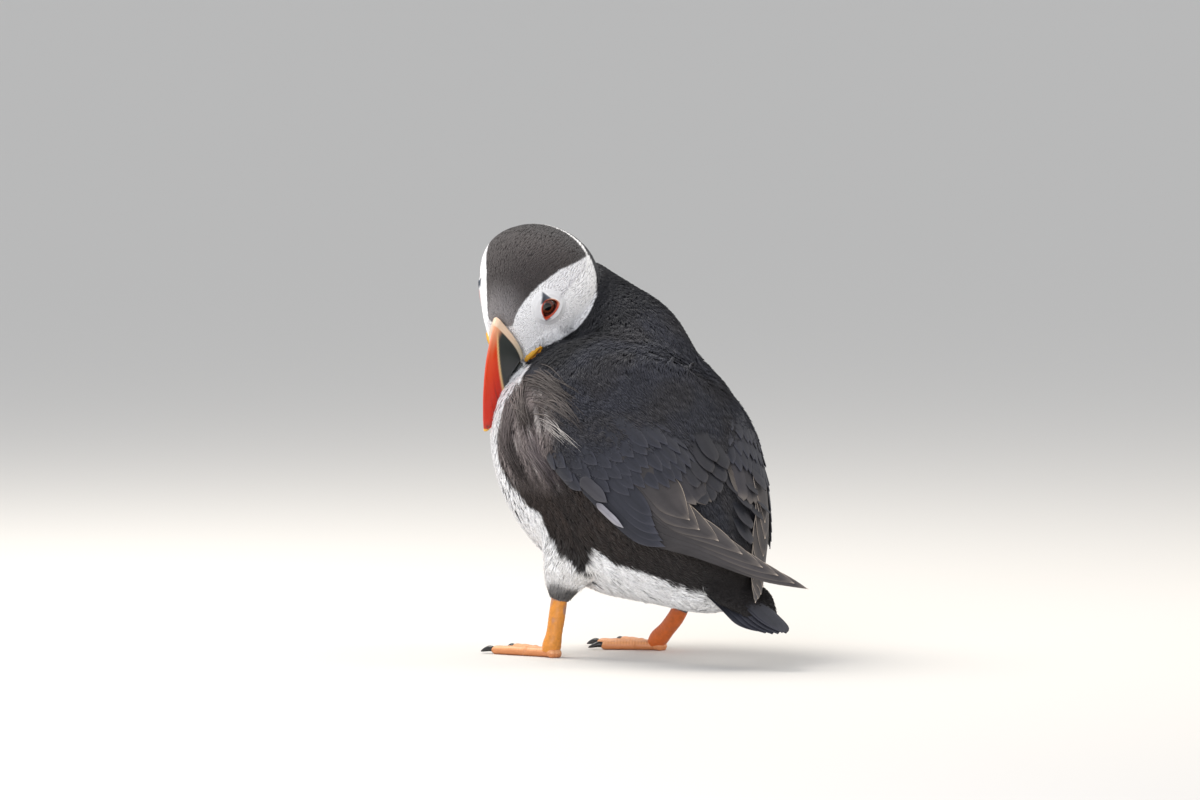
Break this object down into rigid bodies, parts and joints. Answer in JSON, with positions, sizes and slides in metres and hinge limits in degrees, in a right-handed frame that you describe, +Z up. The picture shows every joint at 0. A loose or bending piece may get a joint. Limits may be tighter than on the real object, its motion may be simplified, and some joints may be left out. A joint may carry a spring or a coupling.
{
  "type": "atlantic puffin",
  "caption": "Standing life-size Atlantic puffin with closed wings, webbed feet and its head turned to preen the left side of its breast.",
  "frame": {"origin": "the point of the floor under the middle of the bird's bounding box", "axes": "-Y where the trunk heads, +X the bird's left, +Z up"},
  "size_m": [0.1016, 0.178, 0.1777],
  "materials": {
    "plumage": "black back, collar and wings, grey-white face, white breast and belly, soft feather sheen",
    "bill": "horn, red-orange outer half with grooves, slate base, cream rim and yellow tip, waxy gloss",
    "eye": "wet dark eye in a red-orange lid ring with slate skin plates",
    "gape": "bare yellow-orange folded skin",
    "legs": "scaled orange leg and web skin, satin",
    "claws": "dark horn"
  },
  "bodies": {
    "root": {"head": "plumage", "bill_upper": "bill", "bill_lower": "bill", "eye_left": "eye", "rosette_left": "gape", "eye_right": "eye", "rosette_right": "gape", "neck": "plumage", "trunk": "plumage", "tail": "plumage", "wing_left": "plumage", "wing_right": "plumage", "thigh_left": "plumage", "thigh_right": "plumage", "tarsus_left": "legs", "tarsus_right": "legs", "foot_left": "legs", "foot_right": "legs", "claw_left_inner": "claws", "claw_left_middle": "claws", "claw_left_outer": "claws", "claw_right_inner": "claws", "claw_right_middle": "claws", "claw_right_outer": "claws"}
  },
  "joints": []
}
